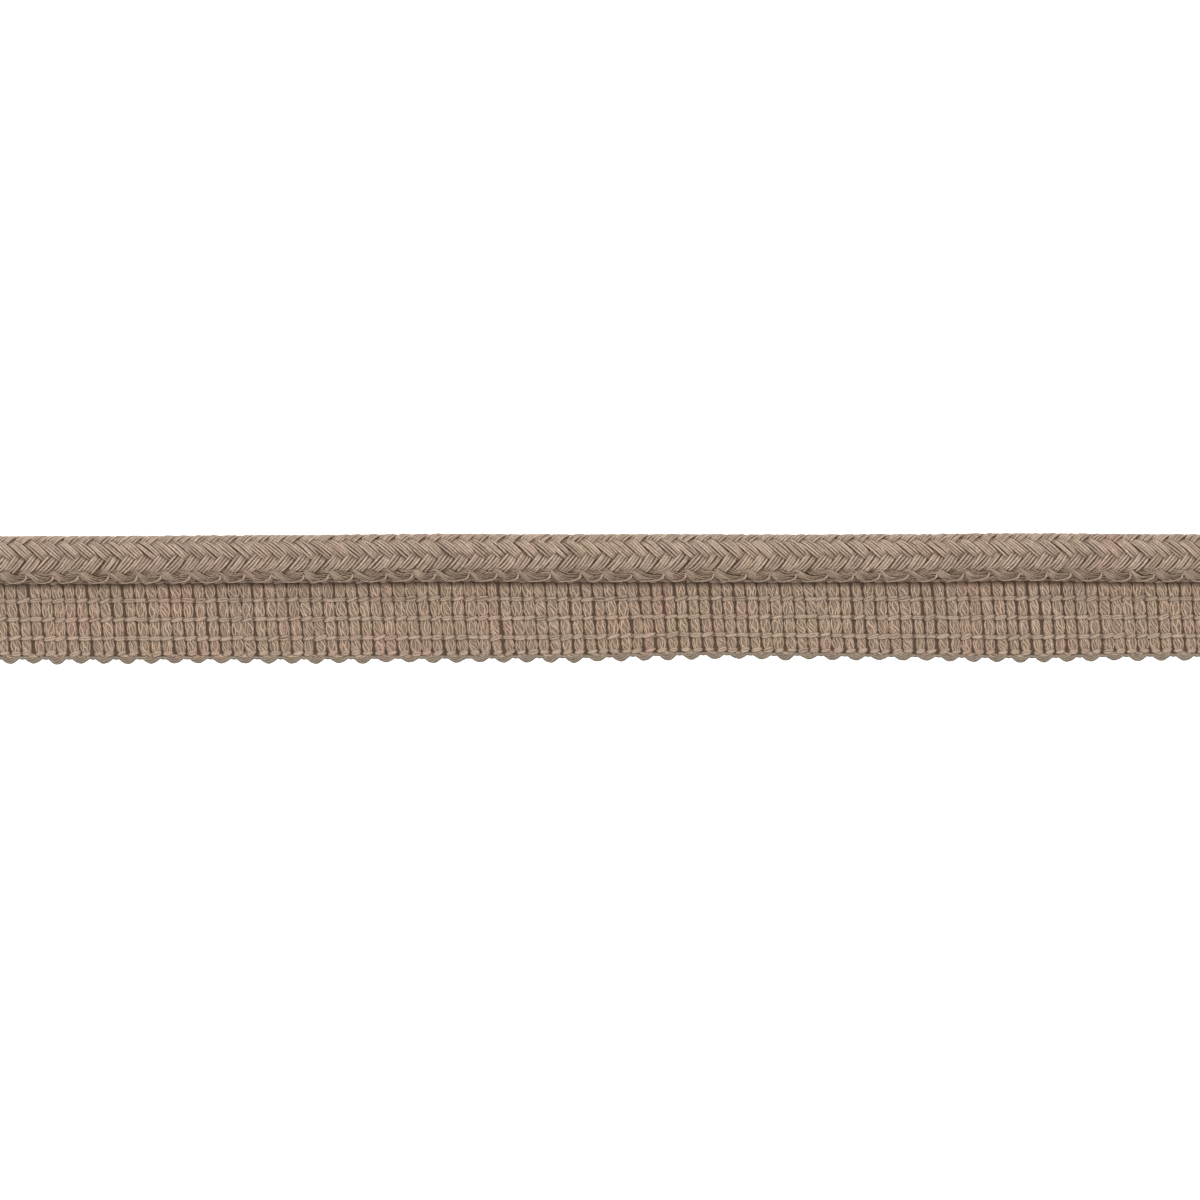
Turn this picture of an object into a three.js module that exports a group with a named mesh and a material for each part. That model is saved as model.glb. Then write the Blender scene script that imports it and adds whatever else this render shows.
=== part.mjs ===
// A straight cut length of flanged piping trim, in millimetres, +Z up.
// A round braided cord lies along +Y and a knitted tape is caught to its side, towards -Y.
// X runs along the trim. Both pieces rest on z = 0, and the origin is the middle of the footprint.
import * as THREE from 'three';

// Driving dimensions
const TRIM_LENGTH = 171;
const CORD_DIAMETER = 6.35;
const CORD_SETTLE = 0.12; // how far the round cord is pressed flat where it rests
const STITCH_PITCH = 2.09; // from one float of the braid to the next, along the cord
const BRAID_ROWS = 8; // rows of floats round the cord, leaning left and right in turn
const FIRST_ROW_DEG = 35; // where one row edge lies, turned from +Y towards +Z
const FLOAT_RELIEF = 0.24; // groove between two floats of a row
const ROW_RELIEF = 0.3; // groove between two rows, where the floats dive under each other
const SEAM_DEG = 160; // where the tape draws the braid in
const SEAM_PULL_DEG = 10;
const SEAM_PULL_WIDTH_DEG = 45;
const END_EASE = 7; // length over which the leaning floats straighten to a square cut end

const COURSE_PITCH = 1.555; // from one bundle of weft yarn to the next
const CHAIN_SPACING = 2.5; // between the chains of stitches that run along the tape
const FIRST_CHAIN = 2.9; // hidden chain at the cord, from the cord's centreline
const CHAIN_COUNT = 5;
const BUNDLE_TOP = 1.6; // height of a weft bundle between two chains
const BUNDLE_GAP = 1.22; // height of the groove between two bundles
const CHAIN_TOP = 1.22; // height where a chain pinches a bundle
const CHAIN_GAP = 1.02;
const PLATEAU = 0.62; // half the width over which a bundle keeps its height
const WEFT_LEAN = 0.11; // how far each end of a plateau is shifted along the tape, as the wefts lean
const SCALLOP_DEPTH = 0.95; // how far a turning loop reaches past the last chain
const SCALLOP_LIP_HEIGHT = 0.95;
const GAP_TO_CORD = 0.3;

// How the trim lies: the cord's sway to the side and the extra reach of the tape, at places along X
const LAY = [
  { x: -85.5, sway: -0.22, reach: 0 },
  { x: -66, sway: -0.22, reach: 0 },
  { x: -40, sway: -0.08, reach: 0.12 },
  { x: -20, sway: 0.08, reach: 0.2 },
  { x: -3, sway: 0.02, reach: 0.05 },
  { x: 13, sway: 0.04, reach: -0.3 },
  { x: 26, sway: 0, reach: -0.26 },
  { x: 40, sway: 0.03, reach: -0.06 },
  { x: 56, sway: 0.17, reach: 0.21 },
  { x: 76, sway: 0.03, reach: -0.13 },
  { x: 85.5, sway: 0, reach: -0.13 },
];

// Share of the scallop's depth at the four places of one repeat, which spans two courses
const SCALLOP_SHAPE = [
  { place: 'notch', share: 0.25 },
  { place: 'shoulder', share: 0.55 },
  { place: 'lowest point', share: 1 },
  { place: 'flank', share: 0.65 },
];

const radius = CORD_DIAMETER / 2;
const axisHeight = radius - CORD_SETTLE;
const halfLength = TRIM_LENGTH / 2;
const { degToRad, lerp, smoothstep, clamp } = THREE.MathUtils;

const taupe = new THREE.MeshStandardMaterial({ color: 0xa08c79, roughness: 0.92, metalness: 0 });
const warmTaupe = new THREE.MeshStandardMaterial({ color: 0xa18a76, roughness: 0.94, metalness: 0 });

// One column of the LAY table at x, eased between its rows
function layAt(x, column) {
  const next = clamp(LAY.findIndex((row) => row.x >= x), 1, LAY.length - 1);
  const before = LAY[next - 1];
  const after = LAY[next];
  return lerp(before[column], after[column], smoothstep(x, before.x, after.x));
}

// A repeatable unevenness from -1 to 1 for the yarns, which are never all alike
function uneven(index, seed) {
  const mixed = Math.sin(index * 12.9898 + seed * 78.233) * 43758.5453;
  return 2 * (mixed - Math.floor(mixed)) - 1;
}

// Two triangles of a four-sided patch, parted along its shorter diagonal
function patch(points, a, b, c, d) {
  const partAtA = points[a].distanceTo(points[c]) < points[b].distanceTo(points[d]);
  return partAtA ? [a, b, c, a, c, d] : [a, b, d, b, c, d];
}

// Closed solid through rings of equally many points, with flat ends
function loft(rings) {
  const count = rings[0].length;
  const last = (rings.length - 1) * count;
  const points = rings.flat();
  const faces = [];
  for (let start = 0; start < last; start += count) {
    for (let k = 0; k < count; k++) {
      const a = start + k;
      const b = start + ((k + 1) % count);
      faces.push(...patch(points, a, b, b + count, a + count));
    }
  }
  const outline = rings[0].map((p) => new THREE.Vector2(p.y, p.z));
  for (const [a, b, c] of THREE.ShapeUtils.triangulateShape(outline, [])) {
    faces.push(a, c, b, last + a, last + b, last + c);
  }
  const geometry = new THREE.BufferGeometry();
  geometry.setFromPoints(points);
  geometry.setIndex(faces);
  geometry.computeVertexNormals();
  return geometry;
}

// The braid is drawn a little towards the seam, so the row edges crowd together there
function drawnIn(angleDeg) {
  const away = (angleDeg - SEAM_DEG) / SEAM_PULL_WIDTH_DEG;
  return angleDeg - SEAM_PULL_DEG * Math.exp(-away * away);
}

// Grid lines round the cord: three to a row, the first on the row's edge
function braidLines() {
  const stepsPerRow = 3;
  const rowDeg = 360 / BRAID_ROWS;
  return Array.from({ length: BRAID_ROWS * stepsPerRow }, (_, k) => {
    const row = Math.floor(k / stepsPerRow);
    const across = (k % stepsPerRow) / stepsPerRow;
    const lean = row % 2 === 0 ? across - 0.5 : 0.5 - across;
    return { angleDeg: drawnIn(FIRST_ROW_DEG + (row + across) * rowDeg), row, across, lean };
  });
}

// The braided cord: each ring zigzags along the floats, on a crest in every second row
function cordGeometry() {
  const lines = braidLines();
  const stitches = Math.round(TRIM_LENGTH / STITCH_PITCH);
  const pitch = TRIM_LENGTH / stitches;
  const rings = [];
  for (let j = 0; j <= 2 * stitches; j++) {
    const base = -halfLength + (j * pitch) / 2;
    const ease = smoothstep(halfLength - Math.abs(base), 0, END_EASE);
    rings.push(lines.map(({ angleDeg, row, across, lean }) => {
      const x = base + ease * lean * pitch;
      const angle = degToRad(angleDeg);
      const pressed = smoothstep(Math.abs(angleDeg - 270), 14, 40);
      const onCrest = (j + row) % 2 === 1;
      const groove = across === 0 ? ROW_RELIEF : (onCrest ? 0 : FLOAT_RELIEF);
      const r = radius - groove * pressed;
      const y = layAt(x, 'sway') + r * Math.cos(angle);
      return new THREE.Vector3(x, y, Math.max(0, axisHeight + r * Math.sin(angle)));
    }));
  }
  return loft(rings);
}

// Distance from the cord's centreline at which the tape's inner edge clears the cord at height z
function besideCord(z) {
  return Math.sqrt((radius + GAP_TO_CORD) ** 2 - (axisHeight - z) ** 2);
}

// The tape's section at half course j, as distance from the cord's centreline and height
function tapeSection(j, reach) {
  const onBundle = j % 2 === 1;
  const puff = 0.08 * uneven(j, 1);
  const bundle = (onBundle ? BUNDLE_TOP : BUNDLE_GAP) + puff;
  const pinch = onBundle ? CHAIN_TOP : CHAIN_GAP;
  const lastChain = FIRST_CHAIN + (CHAIN_COUNT - 1) * CHAIN_SPACING;
  const depth = SCALLOP_DEPTH * SCALLOP_SHAPE[j % 4].share * (1 + 0.12 * uneven(j, 2));
  const widen = (v) => v + reach * smoothstep(v, FIRST_CHAIN, lastChain);
  const section = [
    { v: besideCord(0) + 0.35, z: 0 },
    { v: widen(lastChain + depth * 0.8), z: 0 },
    { v: widen(lastChain + depth), z: SCALLOP_LIP_HEIGHT / 2 },
    { v: widen(lastChain + depth * 0.7), z: SCALLOP_LIP_HEIGHT },
  ];
  for (let c = CHAIN_COUNT - 1; c > 0; c--) {
    const chain = FIRST_CHAIN + c * CHAIN_SPACING;
    const middle = chain - CHAIN_SPACING / 2;
    section.push({ v: widen(chain), z: pinch });
    section.push({ v: widen(middle + PLATEAU), z: bundle, lean: WEFT_LEAN });
    if (c > 1) section.push({ v: widen(middle - PLATEAU), z: bundle, lean: -WEFT_LEAN });
  }
  section.push({ v: besideCord(CHAIN_TOP), z: CHAIN_TOP });
  section.push({ v: besideCord(CHAIN_TOP / 2), z: CHAIN_TOP / 2 });
  return section;
}

// The knitted tape: weft bundles across it, pinched by the chains, turning in loops at the free edge
function tapeGeometry() {
  const courses = Math.round(TRIM_LENGTH / COURSE_PITCH);
  const rings = [];
  for (let j = 0; j <= 2 * courses; j++) {
    const x = -halfLength + (j * TRIM_LENGTH) / (2 * courses);
    const ease = smoothstep(halfLength - Math.abs(x), 0, END_EASE);
    const sway = layAt(x, 'sway');
    const section = tapeSection(j, layAt(x, 'reach'));
    const ring = section.map(({ v, z, lean = 0 }) => new THREE.Vector3(x + ease * lean, sway - v, z));
    rings.push(ring.reverse());
  }
  return loft(rings);
}

function namedMesh(name, geometry, material) {
  const mesh = new THREE.Mesh(geometry, material);
  mesh.name = name;
  return mesh;
}

const trim = new THREE.Group();
trim.add(namedMesh('cord', cordGeometry(), taupe));
trim.add(namedMesh('tape', tapeGeometry(), warmTaupe));

// The frame's origin is the middle of the footprint, on the surface that the trim lies on
const footprint = new THREE.Box3().setFromObject(trim, true).getCenter(new THREE.Vector3());
trim.position.set(-footprint.x, -footprint.y, 0);

export default trim;
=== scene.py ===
import bpy
import numpy as np
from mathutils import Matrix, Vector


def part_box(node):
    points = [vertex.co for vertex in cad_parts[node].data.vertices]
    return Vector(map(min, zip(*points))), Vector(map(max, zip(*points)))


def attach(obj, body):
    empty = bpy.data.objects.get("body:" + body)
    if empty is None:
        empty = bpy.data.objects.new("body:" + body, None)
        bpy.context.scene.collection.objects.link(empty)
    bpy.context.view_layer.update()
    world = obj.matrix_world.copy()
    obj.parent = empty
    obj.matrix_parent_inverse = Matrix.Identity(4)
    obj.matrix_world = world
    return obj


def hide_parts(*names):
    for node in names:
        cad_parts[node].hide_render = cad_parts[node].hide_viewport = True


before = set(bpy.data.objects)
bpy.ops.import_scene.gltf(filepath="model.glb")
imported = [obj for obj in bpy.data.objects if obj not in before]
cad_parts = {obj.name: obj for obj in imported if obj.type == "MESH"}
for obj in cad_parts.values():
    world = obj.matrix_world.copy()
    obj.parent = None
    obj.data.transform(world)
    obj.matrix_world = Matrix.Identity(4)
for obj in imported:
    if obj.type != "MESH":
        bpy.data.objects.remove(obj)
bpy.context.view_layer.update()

# A straight length of flanged piping: a braided cord with a knitted tape caught to its side.
# Sizes are in millimetres and become metres as each mesh is made. A place on the trim is (x, s, z):
# along it, across it from the cord's centreline towards the tape's free edge, and up from the surface
# that it lies on. Angles round the cord are in degrees, from +Y over the top towards the tape.
mm = 0.001
rng = np.random.default_rng(27)

trim = {
    "length": 171.0,
    "cordRadius": 3.175,
    "settle": 0.12,  # the round cord is pressed flat by this much where it rests
    "endEase": 7.0,  # leaning yarns straighten over this length to a square cut end
    "cutPressed": 0.03,  # what lies past a cut end is pressed flat to this share of its reach
    # how it lies: the cord's sway to the side and the extra reach of the tape, at places along it
    "places": [-85.5, -66, -40, -20, -3, 13, 26, 40, 56, 76, 85.5],
    "sway": [-0.22, -0.22, -0.08, 0.08, 0.02, 0.04, 0, 0.03, 0.17, 0.03, 0],
    "reach": [0, 0, 0.12, 0.2, 0.05, -0.3, -0.26, -0.06, 0.21, -0.13, -0.13],
}
halfLength = trim["length"] / 2
axisHeight = trim["cordRadius"] - trim["settle"]
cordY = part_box("cord")[1].y / mm - trim["cordRadius"] - max(trim["sway"])


def smooth(x, low, high):
    # 0 below low, 1 above high, and between them 3 t^2 - 2 t^3 of the share t of the way
    t = np.clip((x - low) / (high - low), 0, 1)
    return t * t * (3 - 2 * t)


def layAt(x, column):
    # one column of the lay, eased from each place to the next with the smooth step
    places, values = np.array(trim["places"]), np.array(trim[column])
    k = np.clip(np.searchsorted(places, x), 1, len(places) - 1)
    return values[k - 1] + (values[k] - values[k - 1]) * smooth(x, places[k - 1], places[k])


def placed(x, s, z):
    # from a place on the trim to the frame: y = the cord's centreline + its sway - s
    return np.stack(np.broadcast_arrays(x, cordY + layAt(x, "sway") - s, z), -1)


def endEase(x):
    # 0 at both cut ends, 1 away from them
    return smooth(halfLength - np.abs(x), 0, trim["endEase"])


def unit(v):
    return v / np.linalg.norm(v, axis=-1, keepdims=True)


upright = np.array([0, 0, 1.0])


def ringTurns(sides):
    # equal turns round a yarn, the first at its top
    return 2 * np.pi * np.arange(sides) / sides + np.pi / 2


def tubes(path, up, wide, high, sides=6, closed=False):
    # Many tubes at once. forward is the step along the path, side = forward x up, lift = side x forward,
    # and a ring's points are path + side * wide * cos(turn) + lift * high * sin(turn) for equal turns
    forward = np.roll(path, -1, 1) - np.roll(path, 1, 1) if closed else np.gradient(path, axis=1)
    forward = unit(forward)
    side = unit(np.cross(forward, up))
    lift = np.cross(side, forward)
    turn = ringTurns(sides)[:, None]
    wide = np.broadcast_to(wide, path.shape[:2])[..., None, None]
    high = np.broadcast_to(high, path.shape[:2])[..., None, None]
    ring = side[:, :, None] * wide * np.cos(turn) + lift[:, :, None] * high * np.sin(turn)
    points = path[:, :, None] + ring
    # nothing reaches below the surface it lies on, and what lies past the square cut ends is pressed flat
    points[..., 2] = np.maximum(points[..., 2], 0)
    cut = np.clip(points[..., 0], -halfLength, halfLength)
    points[..., 0] = cut + trim["cutPressed"] * (points[..., 0] - cut)
    return points


def tubeFaces(count, rings, sides, closed):
    # four-sided faces from ring i to i + 1 and side j to j + 1, and two caps on each open tube
    i, j = np.meshgrid(np.arange(rings if closed else rings - 1), np.arange(sides), indexing="ij")
    i, j = i.ravel(), j.ravel()
    here, ahead, nextSide = i * sides, (i + 1) % rings * sides, (j + 1) % sides
    wall = np.stack([here + j, ahead + j, ahead + nextSide, here + nextSide], -1)
    caps = np.zeros((0, 4), int)
    if not closed:
        # a fan from the ring's first point; -1 is a corner left out, where the last face has three
        k = np.arange(1, sides - 1, 2)
        fan = np.stack([0 * k, k, k + 1, np.where(k + 2 < sides, k + 2, -1)], -1)
        farFan = np.where(fan < 0, -1, fan + (rings - 1) * sides)
        caps = np.concatenate([fan, farFan[:, ::-1]])
    one = np.concatenate([wall, caps])
    starts = np.arange(count)[:, None, None] * rings * sides
    wallUv = np.stack([i, j], -1)[:, None] + np.array([[0, 0], [1, 0], [1, 1], [0, 1]])
    return np.where(one < 0, -1, one + starts).reshape(-1, 4), wallUv, len(wall)


def meshOf(name, points, faces, smoothFaces):
    mesh = bpy.data.meshes.new(name)
    mesh.vertices.add(len(points))
    mesh.vertices.foreach_set("co", (points * mm).astype(np.float32).ravel())
    corners, sizes = faces[faces >= 0], (faces >= 0).sum(1)
    mesh.loops.add(len(corners))
    mesh.loops.foreach_set("vertex_index", corners.astype(np.int32))
    mesh.polygons.add(len(faces))
    mesh.polygons.foreach_set("loop_start", (np.cumsum(sizes) - sizes).astype(np.int32))
    mesh.update(calc_edges=True)
    mesh.polygons.foreach_set("use_smooth", smoothFaces)
    mesh.update()
    return mesh


def addPiece(mesh, material, slot, *nodes):
    piece = bpy.data.objects.new(mesh.name, mesh)
    bpy.context.scene.collection.objects.link(piece)
    mesh.materials.append(material)
    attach(piece, "root")
    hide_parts(*nodes)
    return piece


def setFloats(mesh, name, values):
    attribute = mesh.attributes.new(name, "FLOAT", "POINT")
    attribute.data.foreach_set("value", values.astype(np.float32).ravel())


def setUv(mesh, faces, uv):
    kept = uv.reshape(-1, 2)[faces.ravel() >= 0]
    mesh.uv_layers.new(name="yarn").data.foreach_set("uv", kept.astype(np.float32).ravel())


def yarnMesh(name, points, tone, depth, sideShade=1.0, closed=False):
    # UV of yarn: u is the length along it in millimetres, v the share of the way round it
    count, rings, sides = points.shape[:3]
    faces, wallUv, walls = tubeFaces(count, rings, sides, closed)
    smoothFaces = np.tile(np.arange(len(faces) // count) < walls, count)
    mesh = meshOf(name, points.reshape(-1, 3), faces, smoothFaces)
    middle = points.mean(2)
    step = np.linalg.norm(np.diff(middle, axis=1), axis=-1)
    if closed:
        step = np.concatenate([step, np.linalg.norm(middle[:, :1] - middle[:, -1:], axis=-1)], 1)
    along = np.concatenate([np.zeros((count, 1)), np.cumsum(step, 1)], 1)
    uv = np.zeros((count, len(faces) // count, 4, 2))
    uv[:, :walls, :, 0] = along[:, wallUv[..., 0]]
    uv[:, :walls, :, 1] = wallUv[..., 1] / sides
    uv[..., 0] += (rng.random(count) * 50)[:, None, None]
    setUv(mesh, faces, uv)
    setFloats(mesh, "tone", np.broadcast_to(np.asarray(tone)[..., None], (count, rings, sides)))
    # painted shade: the light hardly reaches a yarn's sides, so they are mixed towards the shade colour by
    # the given share
    sideLit = 1 - np.asarray(sideShade)[..., None] * (1 - smooth(np.sin(ringTurns(sides)), -0.05, 1.0))
    # the depth attribute carries the painted shade: 1 keeps the dyed colour and 0 is the full shade colour
    setFloats(mesh, "depth", np.broadcast_to(np.asarray(depth)[..., None] * sideLit, (count, rings, sides)))
    return mesh


# Finishes


def newGroup(name, inputs, outputs):
    group = bpy.data.node_groups.new(name, "ShaderNodeTree")
    for label, kind, value in inputs:
        socket = group.interface.new_socket(label, in_out="INPUT", socket_type=kind)
        socket.default_value = value
    for label, kind in outputs:
        group.interface.new_socket(label, in_out="OUTPUT", socket_type=kind)
    return group, group.nodes.new("NodeGroupInput"), group.nodes.new("NodeGroupOutput")


def calc(tree, operation, a, b=None):
    # one Math node, with numbers or sockets as its inputs
    node = tree.nodes.new("ShaderNodeMath")
    node.operation = operation
    for socket, value in zip(node.inputs, (a, b)):
        if isinstance(value, bpy.types.NodeSocket):
            tree.links.new(value, socket)
        elif value is not None:
            socket.default_value = value
    return node.outputs[0]


def mixColour(tree, share, a, b, blend="MIX"):
    node = tree.nodes.new("ShaderNodeMix")
    node.data_type = "RGBA"
    node.blend_type = blend
    for socket, value in zip((node.inputs[0], node.inputs[6], node.inputs[7]), (share, a, b)):
        if isinstance(value, bpy.types.NodeSocket):
            tree.links.new(value, socket)
        else:
            socket.default_value = value
    return node.outputs[2]


def spread(tree, value, low, high):
    # Map Range of a socket from low..high to 0..1, held inside
    node = tree.nodes.new("ShaderNodeMapRange")
    tree.links.new(value, node.inputs["Value"])
    node.inputs["From Min"].default_value = low
    node.inputs["From Max"].default_value = high
    return node.outputs["Result"]


def noise(tree, vector, scale, detail=2.0):
    node = tree.nodes.new("ShaderNodeTexNoise")
    tree.links.new(vector, node.inputs["Vector"])
    node.inputs["Scale"].default_value = scale
    node.inputs["Detail"].default_value = detail
    return node.outputs["Fac"]


def makeYarnGrain():
    # Plies of a twisted yarn: |sin(pi * plies * (v + u / lay))|, and fine fibres that follow the twist
    tree, given, out = newGroup(
        "yarnGrain",
        [
            ("UV", "NodeSocketVector", (0, 0, 0)),
            ("Lay", "NodeSocketFloat", 1.5),
            ("Fibre", "NodeSocketFloat", 0.4),
        ],
        [("Height", "NodeSocketFloat"), ("Fuzz", "NodeSocketFloat")],
    )
    plies, fibresAlong, fibresAround = 2, 1.9, 8.0
    split = tree.nodes.new("ShaderNodeSeparateXYZ")
    tree.links.new(given.outputs["UV"], split.inputs[0])
    turned = calc(tree, "ADD", split.outputs[1], calc(tree, "DIVIDE", split.outputs[0], given.outputs["Lay"]))
    ply = calc(tree, "ABSOLUTE", calc(tree, "SINE", calc(tree, "MULTIPLY", turned, np.pi * plies)))
    join = tree.nodes.new("ShaderNodeCombineXYZ")
    tree.links.new(calc(tree, "MULTIPLY", split.outputs[0], fibresAlong), join.inputs[0])
    tree.links.new(calc(tree, "MULTIPLY", turned, fibresAround), join.inputs[1])
    fibre = spread(tree, noise(tree, join.outputs[0], 1.0, 3.0), 0.3, 0.7)
    raised = calc(tree, "MULTIPLY", fibre, given.outputs["Fibre"])
    tree.links.new(calc(tree, "ADD", ply, raised), out.inputs["Height"])
    tree.links.new(fibre, out.inputs["Fuzz"])
    return tree


drift = {
    "rosyScale": 170.0,  # waves a metre of the rosy patches
    "rosyShare": 0.6,  # and how far they turn to the rosy dye
    "oliveScale": 115.0,
    "oliveShare": 0.4,
    "toneLeast": 0.83,  # shade of the darkest yarn
    "toneRange": 0.34,  # and by how much more the palest has
    "fuzzLeast": 0.6,  # the same for the fibres of a yarn
    "fuzzRange": 0.8,
}


def makeDyeAndPaintedShade():
    # Cotton takes dye unevenly: broad rosy and olive patches, and each yarn a shade of its own. Last, the
    # dyed colour is mixed towards a dark painted shade colour where the yarn's painted-shade share is low
    colour, number = "NodeSocketColor", "NodeSocketFloat"
    tree, given, out = newGroup(
        "dyeAndPaintedShade",
        [
            ("Place", "NodeSocketVector", (0, 0, 0)),
            ("Tone", number, 0.5),
            ("Depth", number, 1.0),
            ("Fuzz", number, 0.5),
            ("Base", colour, (0.5, 0.4, 0.3, 1)),
            ("Rosy", colour, (0.5, 0.4, 0.3, 1)),
            ("Olive", colour, (0.5, 0.4, 0.3, 1)),
            ("Deep", colour, (0.1, 0.1, 0.1, 1)),
        ],
        [("Colour", colour)],
    )
    rosy = spread(tree, noise(tree, given.outputs["Place"], drift["rosyScale"]), 0.5, 0.72)
    olive = spread(tree, noise(tree, given.outputs["Place"], drift["oliveScale"]), 0.48, 0.7)
    rosy = calc(tree, "MULTIPLY", rosy, drift["rosyShare"])
    olive = calc(tree, "MULTIPLY", olive, drift["oliveShare"])
    tint = mixColour(tree, rosy, given.outputs["Base"], given.outputs["Rosy"])
    tint = mixColour(tree, olive, tint, given.outputs["Olive"])
    shade = calc(tree, "MULTIPLY", given.outputs["Tone"], drift["toneRange"])
    shade = calc(tree, "ADD", shade, drift["toneLeast"])
    fibres = calc(tree, "MULTIPLY", given.outputs["Fuzz"], drift["fuzzRange"])
    fibres = calc(tree, "ADD", fibres, drift["fuzzLeast"])
    shade = calc(tree, "MULTIPLY", shade, fibres)
    grey = tree.nodes.new("ShaderNodeCombineColor")
    for socket in grey.inputs[:3]:
        tree.links.new(shade, socket)
    tint = mixColour(tree, 1.0, tint, grey.outputs[0], "MULTIPLY")
    # painted shade: where the share from the depth attribute falls to 0, the colour goes over to the dark
    # shade colour
    tree.links.new(mixColour(tree, given.outputs["Depth"], given.outputs["Deep"], tint), out.inputs["Colour"])
    return tree


yarnGrain, dyeAndPaintedShade = makeYarnGrain(), makeDyeAndPaintedShade()


def addGroup(tree, group, links, **values):
    node = tree.nodes.new("ShaderNodeGroup")
    node.node_tree = group
    for label, source in links.items():
        tree.links.new(source, node.inputs[label])
    for label, value in values.items():
        node.inputs[label].default_value = value
    return node


cordDye = {
    "Base": (0.321, 0.244, 0.187, 1),
    "Rosy": (0.344, 0.227, 0.18, 1),
    "Olive": (0.308, 0.251, 0.166, 1),
}
# the tape's yarns are paler than the cord's: partly their own colour, partly painted light that makes up for
# the shade the cord throws on the tape
tapeDyeAndPaintedLight = {
    "Base": (0.406, 0.3, 0.223, 1),
    "Rosy": (0.44, 0.278, 0.216, 1),
    "Olive": (0.39, 0.306, 0.2, 1),
}
chainDye = {
    "Base": (0.262, 0.195, 0.147, 1),
    "Rosy": (0.281, 0.183, 0.142, 1),
    "Olive": (0.252, 0.2, 0.134, 1),
}
edgeDye = {
    "Base": (0.245, 0.203, 0.158, 1),
    "Rosy": (0.261, 0.192, 0.154, 1),
    "Olive": (0.236, 0.207, 0.148, 1),
}


def yarnFinish(name, colours, paintedShade, lay, fibre, bump, sheen):
    material = bpy.data.materials.new(name)
    material.use_nodes = True
    tree = material.node_tree
    shader = tree.nodes["Principled BSDF"]
    where = tree.nodes.new("ShaderNodeTexCoord")
    tone, depth = tree.nodes.new("ShaderNodeAttribute"), tree.nodes.new("ShaderNodeAttribute")
    tone.attribute_name, depth.attribute_name = "tone", "depth"
    grain = addGroup(tree, yarnGrain, {"UV": where.outputs["UV"]}, Lay=lay, Fibre=fibre)
    sources = {
        "Place": where.outputs["Object"],
        "Tone": tone.outputs["Fac"],
        "Depth": depth.outputs["Fac"],
        "Fuzz": grain.outputs["Fuzz"],
    }
    dye = addGroup(tree, dyeAndPaintedShade, sources, Deep=paintedShade, **colours)
    tree.links.new(dye.outputs["Colour"], shader.inputs["Base Color"])
    height = tree.nodes.new("ShaderNodeBump")
    height.inputs["Strength"].default_value = 0.8
    height.inputs["Distance"].default_value = bump * mm
    tree.links.new(grain.outputs["Height"], height.inputs["Height"])
    tree.links.new(height.outputs["Normal"], shader.inputs["Normal"])
    shader.inputs["Roughness"].default_value = 0.88
    shader.inputs["Specular IOR Level"].default_value = 0.1
    shader.inputs["Sheen Weight"].default_value = sheen
    shader.inputs["Sheen Roughness"].default_value = 0.5
    return material


# the painted shade colour, mixed into the yarns wherever their depth attribute puts them in shade
shadeTaupe = (0.058, 0.032, 0.017, 1)
cordYarn = yarnFinish("braidYarn", cordDye, shadeTaupe, 1.3, 0.5, 0.05, 0.05)
tapeYarn = yarnFinish("tapeYarn", tapeDyeAndPaintedLight, shadeTaupe, 1.1, 0.5, 0.05, 0.05)
chainYarn = yarnFinish("chainYarn", chainDye, shadeTaupe, 2.2, 0.7, 0.025, 0.05)
edgeYarn = yarnFinish("edgeYarn", edgeDye, shadeTaupe, 1.1, 0.6, 0.04, 0.05)
print("finishes made")


# The braided cord

braid = {
    "carriers": 8,  # strands that wind each way
    "stitch": 2.085,  # along the cord from one strand to the next
    "phase": 0.4,  # where the first strand crosses, along the cord
    "roll": 6.0,  # and at what angle
    "yarns": 4,  # fine yarns that lie side by side in a strand
    "spread": 0.512,  # along the cord from one yarn of a strand to the next
    "rows": 8,  # rows of floats round the cord, leaning left and right in turn
    "firstRow": 41.0,  # angle of one row's edge
    "middle": 2.87,  # radius half way between over and under
    "wave": 0.15,  # a strand lies this much above it over the others, and below it under them
    "belly": 0.03,  # and a float is arched by this much more
    "crown": 0.008,  # a strand is rounded: its outer yarns lie lower
    "gather": 0.12,  # share by which a strand narrows where it dives
    "stagger": 4.2,  # each yarn dives this many degrees before or after its neighbour
    "fill": 0.475,  # half a yarn's width, as a share of the room between it and its neighbour
    "yarnHigh": 0.18,
    "leastWide": 0.38,  # a yarn that runs nearly along the cord keeps this share of its width
    "sides": 5,
    "stepsPerFloat": 6,
    "seam": 160.0,  # the tape draws the braid in at this angle
    "pull": 10.0,
    "pullWidth": 45.0,
    "slant": 1.1,  # over the top of the cord the yarns are drawn along it by this much
    "drag": 1.2,  # and beside the seam by this much more
    "catch": 3.64,  # from one stitch of the catch thread to the next
    "catchPhase": 1.45,
    "pinch": 22.0,  # degrees by which a catch stitch lifts the floats beside it
    "dent": 0.4,  # and how far it draws them in
    "square": 1.9,  # how sharply a strand changes from over to under
    "rise": 0.025,  # a yarn rises and sinks by this much, in waves of the length below it
    "riseWave": 2.9,
    "wander": 0.05,  # each yarn wanders aside by this much
    "wanderWave": 4.1,
    "strandWander": 0.08,  # and each strand
    "strandWave": 7.7,
    "sideShade": 0.56,  # how much painted shade darkens a yarn's sides
    "seamSideShade": 0.78,  # and beside the seam how much more painted shade they get
    "mottle": 0.25,  # unevenness of the light on a yarn
    "past": 0.35,  # the yarns are laid this far past the cut ends, where they are cut off square
}


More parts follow.
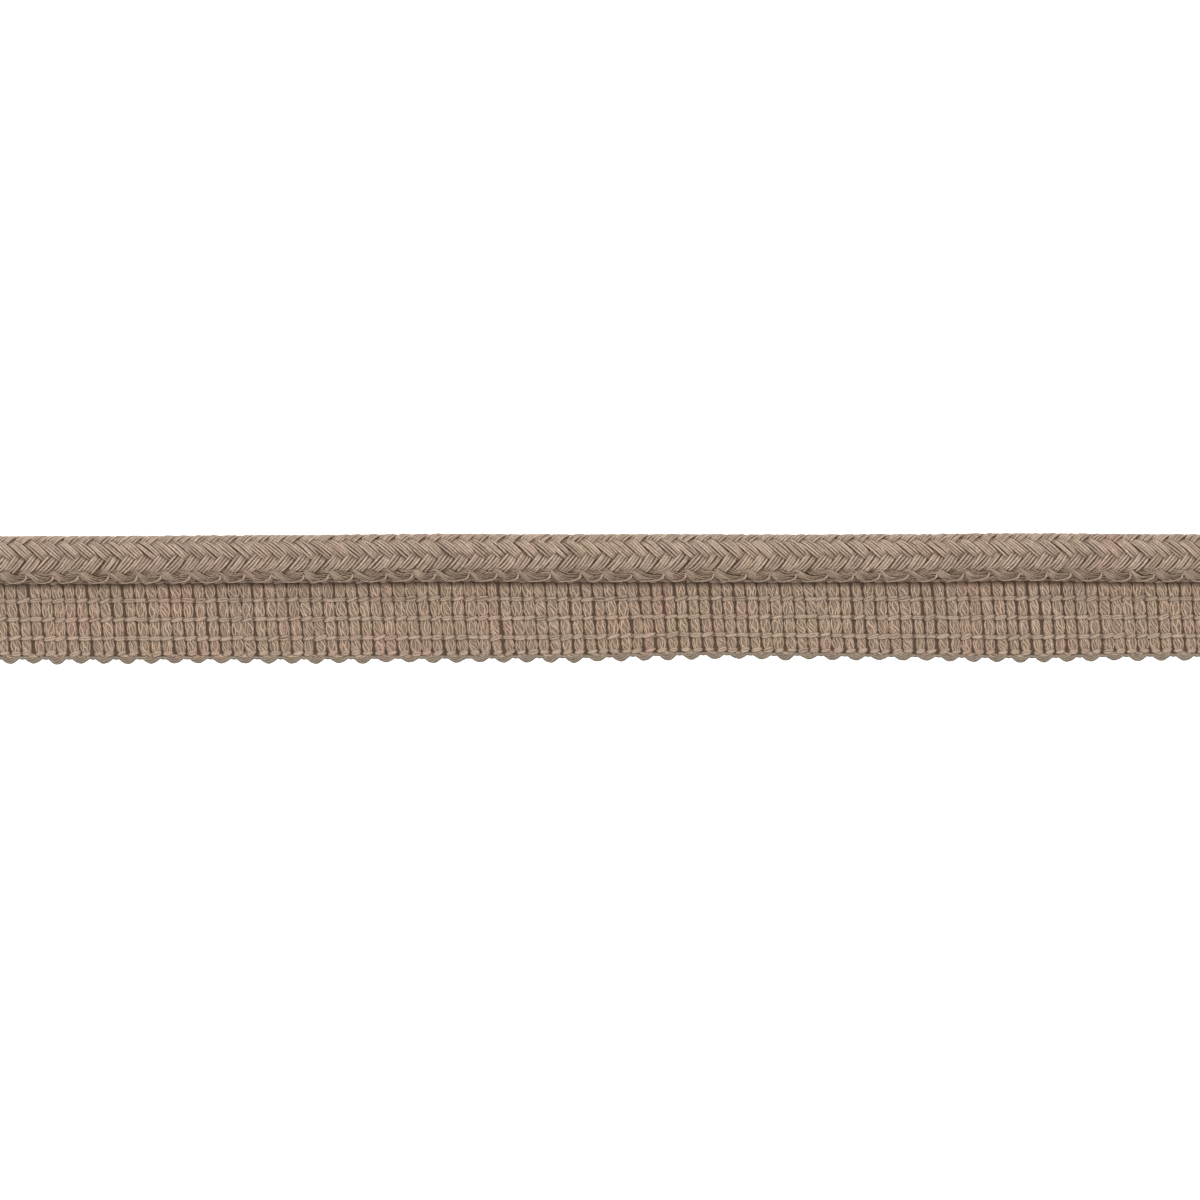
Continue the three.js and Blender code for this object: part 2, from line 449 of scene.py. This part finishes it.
def wander(x, size, wave):
    # slow unevenness of each yarn along its length: two sines of its own phases
    start = rng.random((2, len(x), 1)) * 2 * np.pi
    return size * (np.sin(2 * np.pi * x / wave + start[0]) + np.sin(2 * np.pi * x / wave * 0.43 + start[1]))


def astray(x):
    # how far the catch stitches stray from an even spacing
    return 0.35 * np.sin(x / 1.9) + 0.2 * np.sin(x / 0.87)


def sinceCatch(x):
    # share of the way from one catch stitch to the next
    return ((x + astray(x) - braid["catchPhase"]) / braid["catch"]) % 1.0


def garland(share):
    # how far a swag hangs, from 0.3 at a catch stitch to 1 and back: a sine arch with rounded cusps
    return np.minimum(np.sqrt(np.sin(np.pi * share**0.8) ** 2 + 0.08), 1)


def braidPlace(x, angle, radius):
    # A point of the braid in the frame. Near the seam angles are drawn in by a bell curve, the yarns are
    # dragged along the cord, and each catch stitch pinches them up. The pairs of angles are where each of
    # these sets in or fades
    dial = angle % 360
    away = (dial - braid["seam"]) / braid["pullWidth"]
    slant = braid["slant"] * (smooth(dial, -15, 150) + smooth(dial, 345, 510) - smooth(dial, 195, 350))
    beside = smooth(dial, 126, 168) * (1 - smooth(dial, 200, 290))
    x = x + (slant + braid["drag"] * beside) * endEase(x)
    caught = smooth(dial, 118, 158) * (1 - smooth(dial, 190, 230)) * endEase(x)
    caught = caught * (1 - garland(sinceCatch(x)))
    turned = np.radians(angle - braid["pull"] * np.exp(-away * away) - braid["pinch"] * caught)
    radius = radius - braid["dent"] * caught
    outward = np.stack([0 * turned, np.cos(turned), np.sin(turned)], -1)
    point = placed(x, -radius * np.cos(turned), axisHeight + radius * np.sin(turned))
    return point, outward


def braidYarns(name, way):
    # Helix: angle = way * 360 * x / lead + the strand's own start. It runs over where a smoothed square wave
    # of the angle, four to a turn, is +1, and under where it is -1
    lead = braid["carriers"] * braid["stitch"]
    strand, yarn = np.meshgrid(np.arange(braid["carriers"]), np.arange(braid["yarns"]), indexing="ij")
    strand = strand.ravel()[:, None]
    side = yarn.ravel()[:, None] - (braid["yarns"] - 1) / 2
    steps = int(trim["length"] / braid["stitch"] * braid["stepsPerFloat"])
    x = np.linspace(-1, 1, steps)[None, :] * (halfLength + braid["past"]) + 0 * side
    shift = side * braid["spread"]
    angle = way * 360 * (x - shift - braid["phase"]) / lead + strand * 360 / braid["carriers"] + braid["roll"]
    rowDegrees = 360 / braid["rows"]
    wave = np.sin(np.pi * (angle + way * braid["stagger"] * side - braid["firstRow"]) / rowDegrees) * way
    over = np.tanh(braid["square"] * wave) / np.tanh(braid["square"])
    radius = braid["middle"] + braid["wave"] * over + braid["belly"] * np.maximum(wave, 0)
    radius += wander(x, braid["rise"], braid["riseWave"]) - braid["crown"] * side**2
    together = wander(x[:: braid["yarns"]], braid["strandWander"], braid["strandWave"])
    aside = wander(x, braid["wander"], braid["wanderWave"]) + together.repeat(braid["yarns"], 0)
    aside = aside - shift * braid["gather"] * (1 - np.maximum(wave, 0) ** 0.5)
    path, outward = braidPlace(x + aside * endEase(x), angle, radius)
    alongCord = unit(np.gradient(path, axis=1))[..., 0]
    wide = braid["fill"] * braid["spread"] * np.sqrt(np.maximum(1 - alongCord**2, braid["leastWide"] ** 2))
    points = tubes(path, outward, wide, braid["yarnHigh"], braid["sides"])
    tone = rng.random(side.shape) + 0 * x
    # painted shade: beside the seam, where the tape meets the cord, the yarn sides are darker still
    besideTape = smooth(angle % 360, 115, 145) * (1 - smooth(angle % 360, 200, 240))
    sideShade = braid["sideShade"] + braid["seamSideShade"] * besideTape
    # painted shade: a strand is mixed towards the shade colour where it goes under the others
    depth = smooth(over, -0.5, 0.8) * (1 - braid["mottle"] * rng.random(x.shape))
    return addPiece(yarnMesh(name, points, tone, depth, sideShade), cordYarn, "cord", "cord")


braidYarns("braidYarnsRight", 1)
braidYarns("braidYarnsLeft", -1)

core = {
    "radius": 2.5,
    "pitch": 0.62,  # from one filler yarn to the next
    "yarn": 0.34,
    "sides": 8,
    "rings": 14,
    "short": 0.35,  # the yarns end this far inside the cut ends, some more and some less
    "stray": 0.04,
}


def cordCore():
    # the soft filler: straight thick yarns packed side by side,
    # across = pitch * (i + j / 2) and up = pitch * j * sin 60
    i, j = np.meshgrid(np.arange(-8, 9), np.arange(-8, 9))
    across, up = core["pitch"] * (i + j / 2).ravel(), core["pitch"] * (j * np.sqrt(0.75)).ravel()
    kept = np.hypot(across, up) < core["radius"] - core["yarn"] / 2
    across, up = across[kept][:, None], up[kept][:, None]
    ends = halfLength - core["short"] * (0.6 + 0.8 * rng.random(across.shape))
    x = np.linspace(-1, 1, core["rings"])[None, :] * ends
    path = placed(x, across + core["stray"] * np.sin(x / 3 + 9 * up), axisHeight + up)
    points = tubes(path, upright, core["yarn"], core["yarn"], core["sides"])
    # painted shade: the filler, deep inside the braid, is mixed about halfway towards the shade colour
    mesh = yarnMesh("cordFiller", points, rng.random(across.shape) + 0 * x, 0.55 + 0 * x, 0.3)
    return addPiece(mesh, cordYarn, "cord", "cord")


cordCore()

catchThread = {
    "low": 165.0,  # angle where a swag hangs lowest
    "peak": 131.0,  # and where it goes in between the floats
    "radius": 3.19,
    "sunk": 0.55,  # its ends lie this far inside the braid
    "wide": 0.135,
    "tall": 0.12,
    "steps": 24,
}


def catchStitches():
    # Swags of thread along the cord's flank. Each comes out of the cord low and rises along a quarter of an
    # ellipse to the next stitch, where it goes in between the floats
    count = int(trim["length"] / braid["catch"]) - 1
    number = np.arange(count)[:, None] - count // 2 - 1
    share = np.linspace(0.04, 0.98, catchThread["steps"])[None, :]
    even = braid["catchPhase"] + (number + share) * braid["catch"]
    x = even
    for _ in range(12):
        x = even - astray(x)  # draws nearer to the place where x + astray(x) is the even one
    rise = np.clip((share - 0.25) / 0.75, 0, 1)
    hang = np.sqrt(1 - rise**2)
    angle = catchThread["peak"] + (catchThread["low"] - catchThread["peak"]) * hang
    inside = 1 - smooth(share, 0.05, 0.4) + smooth(share, 0.93, 1.0)
    radius = catchThread["radius"] - catchThread["sunk"] * inside
    turned = np.radians(angle)
    outward = np.stack([0 * turned, np.cos(turned), np.sin(turned)], -1)
    path = placed(x, -radius * np.cos(turned), axisHeight + radius * np.sin(turned))
    points = tubes(path, outward, catchThread["wide"], catchThread["tall"])
    # painted shade: the thread is darker where its swag hangs low towards the seam
    mesh = yarnMesh("catchThread", points, 1.0 + 0 * x, 1 - 0.25 * hang + 0 * x, 0.6)
    return addPiece(mesh, cordYarn, "cord", "cord")


catchStitches()
print("cord made")

# The knitted tape

tape = {
    "courses": 110,
    "chainSpacing": 2.5,
    "firstChain": 2.9,
    "chains": 5,
    "lastChainIn": 0.5,  # the last chain lies closer to its neighbour by this much
    "inner": 2.3,  # the yarns begin here, under the cord
    "lean": 0.09,  # each course leans along the trim by this share of the way across
    "yarns": 12,  # fine yarns in a weft bundle
    "yarnRadius": 0.15,
    "sides": 5,
    "bundleWide": 0.608,  # from the bundle's middle to its outer yarns
    "bundleHigh": 0.36,
    "bundleMiddle": 0.86,
    "pinchWide": 0.4,  # share by which a chain narrows the bundle
    "pinchLow": 0.34,  # and lowers it
    "pinchSunk": 0.1,
    "pinchReach": 0.5,
    "twist": 0.45,  # turning of the yarns round the bundle, in radians a millimetre
    "heart": 0.93,  # the filling inside a bundle, as a share of its width and height
    "heartDepth": 0.42,  # it is in shade
    "seamShade": (3.25, 4.0),  # the wefts come out of the dark beside the cord between these distances
    "mottle": 0.3,
    # painted shade on the sides of each weft yarn
    "sideShade": 0.9,
    "legSteps": 24,
    "turnSteps": 11,
    "legShort": 0.1,  # the straight part ends this far before the last chain
    "loopDepth": 0.6,
    "loopUneven": 0.15,  # share by which one loop's depth differs from another's
    "loopLean": 0.15,
    "loopNarrow": 0.6,  # shares by which a bundle is narrower and thinner in the loop
    "loopThin": 0.35,
    "loopSunk": 0.3,
    "flare": 0.15,  # a loop spreads along the edge by this much
}
fullTurn = 6.28  # near enough for a random start
coursePitch = trim["length"] / tape["courses"]
chainAt = tape["firstChain"] + tape["chainSpacing"] * np.arange(tape["chains"])
chainAt[-1] -= tape["lastChainIn"]
lastChain = chainAt[-1]
middleOfTape = (tape["firstChain"] + lastChain) / 2


def widened(s, x):
    # the tape's own reach comes in gradually from its first chain to its last
    return s + layAt(x, "reach") * smooth(s, tape["firstChain"], lastChain)


def chainPinch(s):
    # 1 on a chain of stitches and 0 between two chains: a bell curve of the distance to the nearest chain
    away = np.abs(s[..., None] - chainAt).min(-1) / tape["pinchReach"]
    return np.exp(-away * away)


courseJitter = rng.normal(size=(tape["courses"], 3)) * np.array([0.035, 0.045, 0.045])


def courseX(course, s):
    # middle of a weft bundle: evenly spaced, leaning, and wandering a little from row to row
    base = -halfLength + (course + 0.5) * coursePitch
    jitter = courseJitter[course]
    across = (s - middleOfTape) / tape["chainSpacing"]
    stray = jitter[..., 0] + jitter[..., 1] * np.sin(2.1 * across) + jitter[..., 2] * np.cos(1.7 * across)
    return base + (tape["lean"] * (s - middleOfTape) + stray) * endEase(base)


def weftBundles(name, firstPair, lastPair):
    # Each pair of courses is one hairpin of yarns: down a course, round a half ellipse at the free edge
    # and back up the next. The yarns lie on an ellipse round its middle line and turn along it
    pair = np.arange(firstPair, lastPair)[:, None]
    legEnd = lastChain - tape["legShort"]
    leg = np.linspace(tape["inner"], legEnd, tape["legSteps"])[None, :]
    down, back = courseX(2 * pair, leg), courseX(2 * pair + 1, leg)[:, ::-1]
    turn = (np.arange(tape["turnSteps"])[None, :] + 1) / (tape["turnSteps"] + 1) * np.pi
    depth = tape["loopDepth"] * (1 + tape["loopUneven"] * rng.normal(size=pair.shape))
    leave, enter = down[:, -1:], back[:, :1]
    half = (enter - leave) / 2 + tape["flare"] * np.sin(turn)
    loopX = (leave + enter) / 2 - half * np.cos(turn) + tape["loopLean"] * np.sin(turn)
    x = np.concatenate([down, loopX, back], 1)
    legS = leg + 0 * down
    s = np.concatenate([legS, legEnd + depth * np.sin(turn), legS[:, ::-1]], 1)
    zero = 0 * x
    inLoop = np.concatenate([0 * down, np.sin(turn) + 0 * depth, 0 * back], 1)
    pinch = chainPinch(s) * (1 - inLoop)
    wide = tape["bundleWide"] * (1 - tape["pinchWide"] * pinch) * (1 - tape["loopNarrow"] * inLoop)
    high = tape["bundleHigh"] * (1 - tape["pinchLow"] * pinch) * (1 - tape["loopThin"] * inLoop)
    middle = tape["bundleMiddle"] - tape["pinchSunk"] * pinch - tape["loopSunk"] * inLoop
    forward = unit(np.stack([np.gradient(x, axis=1), np.gradient(s, axis=1), zero], -1))
    steps = np.hypot(np.gradient(x, axis=1), np.gradient(s, axis=1))
    length = np.cumsum(steps, 1)
    rate = np.clip(rng.normal(tape["twist"], 0.35, pair.shape), 0.1, 2)
    sway = 0.5 * np.sin(length / 1.6 + rng.random(pair.shape) * fullTurn)
    heartPath = placed(x, widened(s, x), middle)
    heart = tubes(heartPath, upright, tape["heart"] * wide, tape["heart"] * high, 6)
    heart = yarnMesh(name + "Heart", heart, 0.3 + zero, tape["heartDepth"] + zero, 0.3)
    addPiece(heart, tapeYarn, "tape", "tape")
    k = np.arange(tape["yarns"])[None, :, None]
    start = rng.random(pair.shape)[:, None] * fullTurn
    around = (sway - rate * length)[:, None] + 2 * np.pi * k / tape["yarns"] + start
    start = fullTurn * rng.random((len(pair), tape["yarns"], 1))
    around = around + 0.35 * np.sin(length[:, None] * 2.3 + start)
    aside = wide[:, None] * np.sign(np.cos(around)) * np.abs(np.cos(around)) ** 0.8
    aside = aside * (1 + 0.07 * rng.normal(size=pair.shape))[:, None]
    x = x[:, None] + aside * forward[:, None, :, 1]
    s = s[:, None] - aside * forward[:, None, :, 0]
    z = middle[:, None] + high[:, None] * np.sin(around)
    shape = (-1, x.shape[-1])
    x, s, z = x.reshape(shape), s.reshape(shape), z.reshape(shape)
    path = placed(x, widened(s, x), z)
    points = tubes(path, upright, tape["yarnRadius"], tape["yarnRadius"], tape["sides"])
    tone = rng.random((len(x), 1)) + 0 * x
    # painted shade: each yarn is darker on its underside, much darker where it comes out beside the cord, a
    # little darker towards the free edge, and unevenly lit from place to place
    lit = smooth(np.sin(around), -0.6, 0.2).reshape(shape)
    lit = lit * (0.1 + 0.9 * smooth(s, *tape["seamShade"])) * (1 - 0.15 * smooth(s, 6.5, 12))
    lit = lit * (1 - tape["mottle"] * rng.random(lit.shape))
    return addPiece(yarnMesh(name, points, tone, lit, tape["sideShade"]), tapeYarn, "tape", "tape")


pairs = tape["courses"] // 2
weftBundles("weftYarnsLeft", 0, pairs // 2)
weftBundles("weftYarnsRight", pairs // 2, pairs)

chain = {
    "halfLink": 0.81,  # half a link's length along the tape
    "halfWidth": 0.125,
    "yarn": 0.2,
    "flat": 0.14,  # its yarn is pressed to this height
    "top": 1.34,
    "dive": 0.24,  # its ends lie this much lower
    "tilt": -0.2,  # it leans across by this share of its length
    "stray": 0.04,  # it lies out of place by this much, more or less
    "tiltStray": 0.11,
    "lengthStray": 0.08,
    "widthStray": 0.3,
    "steps": 14,
    "sides": 5,
    "taper": 0.45,  # share by which a link's yarn thins towards its ends
    "lastLink": 0.8,  # the links of the last chain are shorter, this share of the others
    "lastLower": 0.25,  # and lie this much lower
    "coreAside": 0.14,  # two yarns run on under the links
    "coreMiddle": 0.93,
    "coreYarn": 0.17,
    "coreWander": 0.025,
    "coreWave": 2.3,
}


def chainLinks():
    # Each link is a drawn-out closed loop, x = a cos(t), s = b sin(t), that arches over its bundle and
    # dives between the bundles at both ends
    course = np.arange(tape["courses"])[:, None]
    row = np.arange(tape["chains"])[None, :]
    course, row = (course + 0 * row).ravel(), (row + 0 * course).ravel()
    s = chainAt[row]
    x = courseX(course, s) + chain["stray"] * rng.normal(size=s.shape)
    s = s + chain["stray"] * rng.normal(size=s.shape)
    tilt = chain["tilt"] + chain["tiltStray"] * rng.normal(size=s.shape)
    atEdge = row == tape["chains"] - 1
    halfLink = chain["halfLink"] * (1 + chain["lengthStray"] * rng.normal(size=s.shape))
    halfLink = halfLink * np.where(atEdge, chain["lastLink"], 1)
    turn = 2 * np.pi * np.arange(chain["steps"])[None, :] / chain["steps"]
    along = np.cos(turn)
    halfWidth = chain["halfWidth"] * (1 + chain["widthStray"] * rng.normal(size=s.shape))
    spreadOut = halfWidth[:, None] * np.sin(turn)
    linkX = x[:, None] + halfLink[:, None] * along
    linkS = s[:, None] + spreadOut + tilt[:, None] * halfLink[:, None] * along
    top = np.where(atEdge, chain["top"] - chain["lastLower"], chain["top"])[:, None]
    linkZ = top - chain["dive"] * along**4
    path = placed(linkX, widened(linkS, linkX), linkZ)
    wide = chain["yarn"] * (1 - chain["taper"] * along**2) + 0 * linkX
    points = tubes(path, upright, wide, chain["flat"], chain["sides"], closed=True)
    tone = 0.35 + 0.65 * rng.random((len(s), 1)) + 0 * linkX
    # painted shade: a link is darker towards both ends, where it dives between the bundles
    depth = smooth(np.abs(along) + 0 * linkX, 1.05, 0.75)
    mesh = yarnMesh("chainLinks", points, tone, depth, 0.5, closed=True)
    return addPiece(mesh, chainYarn, "tape", "tape")


chainLinks()


def chainCores():
    # all chains but the last, which leaves a small hole beside each bundle
    x = np.linspace(-halfLength, halfLength, tape["courses"] * 4)[None, :]
    middle = np.repeat(chainAt[:-1], 2)[:, None]
    aside = chain["coreAside"] * np.tile([-1, 1], tape["chains"] - 1)[:, None]
    s = middle + aside + wander(x + 0 * middle, chain["coreWander"], chain["coreWave"])
    path = placed(x, widened(s, x), chain["coreMiddle"])
    points = tubes(path, upright, chain["coreYarn"], chain["coreYarn"], chain["sides"])
    # painted shade: the cores, lying under the links, are mixed partly towards the shade colour
    mesh = yarnMesh("chainCores", points, rng.random(middle.shape) + 0 * s, 0.7 + 0 * s, 0.6)
    return addPiece(mesh, chainYarn, "tape", "tape")


chainCores()

# The turned wefts make a band along the free edge, a wave of one scallop to two courses
band = {
    "notch": 0.48,  # from the last chain to the band's middle where it is narrowest
    "depth": 0.4,  # and how far a scallop's middle reaches past that
    "lowArch": 0.2,  # height of the low arch as a share of the high one
    "lowSpan": 0.3,  # it takes this share of a repeat
    "highFrom": 0.26,  # and the high one the rest from here
    "yarns": 6,
    "sides": 5,
    "stepsPerCourse": 7,
    "wide": 0.04,
    "swell": 0.27,  # a scallop's tip is wider by this much
    "high": 0.24,
    "yarn": 0.18,
    "middle": 0.68,
    "lay": 5.5,  # its yarns turn once round it over this length
}
scallopDepth = 1 + 0.1 * rng.normal(size=tape["courses"] // 2 + 2)


def scallopAt(x):
    # Two sine arches in each repeat, the low one first
    scallop = np.clip((x + halfLength) / (2 * coursePitch), 0, tape["courses"] / 2 - 0.001)
    number = scallop.astype(int)
    share = scallop - number
    low = band["lowArch"] * np.sin(np.pi * np.clip(share / band["lowSpan"], 0, 1))
    high = np.sin(np.pi * np.clip((share - band["highFrom"]) / (1 - band["highFrom"]), 0, 1))
    return scallopDepth[number] * np.maximum(low, high)


def edgeAt(x):
    # middle of the band
    return lastChain + band["notch"] + band["depth"] * scallopAt(x)


def edgeBand():
    x = np.linspace(-halfLength, halfLength, tape["courses"] * band["stepsPerCourse"])[None, :]
    around = 2 * np.pi * (x / band["lay"] + np.arange(band["yarns"])[:, None] / band["yarns"])
    s = edgeAt(x) + (band["wide"] + band["swell"] * scallopAt(x)) * np.cos(around)
    path = placed(x, widened(s, x), band["middle"] + band["high"] * np.sin(around))
    points = tubes(path, upright, band["yarn"], band["yarn"], band["sides"])
    tone = rng.random((band["yarns"], 1)) + 0 * x
    # painted shade: the band is mixed a little towards the shade colour
    return addPiece(yarnMesh("edgeBand", points, tone, 0.78 + 0 * s, 0.8), edgeYarn, "tape", "tape")


edgeBand()

ground = {
    "high": 0.72,
    "rib": 0.14,  # height of a course's rib on top
    "under": 0.32,  # and depth of the groove between two of them underneath
    "inner": 1.6,  # how far under the cord it begins, from the cord's centreline
    "short": 0.45,  # it ends this far inside the cut ends
    "thinEnd": 0.35,  # where its height is this share, rising to full over the length below
    "thinOver": 0.9,
    "belowCord": 0.02,
    "alongSteps": 661,
    "acrossSteps": 20,
}


def tapeGround():
    # The back of the tape, a closed sheet: its outline goes out over the top and back underneath. Both faces
    # are ribbed by |sin| of the course, and the free edge follows the turning loops
    n = ground["acrossSteps"]
    x = np.linspace(-1, 1, ground["alongSteps"])[None, :] * (halfLength - ground["short"]) + np.zeros((n, 1))
    course = (x + halfLength) / coursePitch
    edge = edgeAt(x)
    share = np.linspace(0, 1, n)[:, None]
    s = ground["inner"] + (edge - ground["inner"]) * share
    lean = tape["lean"] * (s - middleOfTape) * endEase(x)
    rib = np.abs(np.sin(np.pi * course))
    topZ = ground["high"] - ground["rib"] + ground["rib"] * rib
    underCord = axisHeight - np.sqrt(np.maximum(trim["cordRadius"] ** 2 - s**2, 0))
    fromEnd = smooth(halfLength - ground["short"] - np.abs(x), 0, ground["thinOver"])
    thinned = ground["thinEnd"] + (1 - ground["thinEnd"]) * fromEnd
    topZ = np.minimum(topZ * thinned, underCord - ground["belowCord"])
    bundle = rib**0.5 * (1 - 0.45 * chainPinch(s))
    lowZ = ground["under"] * (1 - bundle) * smooth(share, 0, 0.06) * (1 - smooth(share, 0.94, 1))
    top = placed(x + lean, widened(s, x), topZ)
    low = placed(x + lean, widened(s, x), lowZ)
    around = np.concatenate([top, low[::-1]], 0)  # one ring of the sheet for each step along it
    points = np.ascontiguousarray(around.transpose(1, 0, 2))[None]
    # painted shade: the top of the sheet, seen only in the gaps between the bundles, is nearly the shade
    # colour, and underneath it is darker in the grooves between the courses and under the chains
    depth = np.concatenate([0.08 + 0 * rib, smooth(bundle[::-1], 0.1, 0.95)], 0).T[None]
    count, rings, sides = points.shape[:3]
    faces, wallUv, walls = tubeFaces(count, rings, sides, False)
    mesh = meshOf("tapeGround", points.reshape(-1, 3), faces, np.arange(len(faces)) < walls)
    uv = np.zeros((len(faces), 4, 2))
    uv[:walls, :, 0] = wallUv[..., 1] * (edge[0, 0] - ground["inner"]) / n
    uv[:walls, :, 1] = wallUv[..., 0] * 6 * tape["courses"] / rings
    setUv(mesh, faces, uv)
    setFloats(mesh, "tone", np.full(points.shape[:3], 0.5))
    setFloats(mesh, "depth", depth)
    return addPiece(mesh, tapeYarn, "tape", "tape")


groundSheet = tapeGround()
print("tape made")

# The floor, the light and the camera

studio = {
    "photoWidth": 158.75,
    "cameraHeight": 1.2,
    "aimX": 0.73,
    "aimY": -0.125,
    "aimZ": 1.3,
    "floorReach": 3.0,  # in metres
    "world": 0.65,
    "lamps": [  # name, y, z, size, power
        ("softKey", 0.1, 1.5, 0.6, 28.0),
        ("backFill", 0.8, 0.45, 0.7, 3.7),
    ],
}


def studioSet():
    mesh = bpy.data.meshes.new("floor")
    reach = studio["floorReach"]
    corners = [(-reach, -reach, 0), (reach, -reach, 0), (reach, reach, 0), (-reach, reach, 0)]
    mesh.from_pydata(corners, [], [(0, 1, 2, 3)])
    floor = bpy.data.objects.new("floor", mesh)
    bpy.context.scene.collection.objects.link(floor)
    paper = bpy.data.materials.new("paleFloor")
    paper.use_nodes = True
    shader = paper.node_tree.nodes["Principled BSDF"]
    shader.inputs["Base Color"].default_value = (0.93, 0.93, 0.93, 1)
    shader.inputs["Roughness"].default_value = 0.9
    shader.inputs["Specular IOR Level"].default_value = 0.1
    shader.inputs["Emission Color"].default_value = (1, 1, 1, 1)
    shader.inputs["Emission Strength"].default_value = 0.3
    mesh.materials.append(paper)
    world = bpy.data.worlds.new("softRoom")
    world.use_nodes = True
    world.node_tree.nodes["Background"].inputs["Color"].default_value = (1, 1, 1, 1)
    world.node_tree.nodes["Background"].inputs["Strength"].default_value = studio["world"]
    bpy.context.scene.world = world
    for name, y, z, size, power in studio["lamps"]:
        glow = bpy.data.lights.new(name, "AREA")
        glow.size, glow.energy = size, power
        lamp = bpy.data.objects.new(name, glow)
        lamp.location, lamp.rotation_euler = (0, y, z), (-np.arctan2(y, z), 0, 0)
        bpy.context.scene.collection.objects.link(lamp)
    camera = bpy.data.cameras.new("above")
    camera.sensor_width = 36.0
    distance = studio["cameraHeight"] - studio["aimZ"] * mm
    camera.lens = camera.sensor_width * distance / (studio["photoWidth"] * mm)
    camera.clip_start, camera.clip_end = 0.05, 20.0
    eye = bpy.data.objects.new("above", camera)
    eye.location = (studio["aimX"] * mm, studio["aimY"] * mm, studio["cameraHeight"])
    bpy.context.scene.collection.objects.link(eye)
    bpy.context.scene.camera = eye
    bpy.context.scene.view_settings.view_transform = "Standard"


studioSet()
print("studio made")
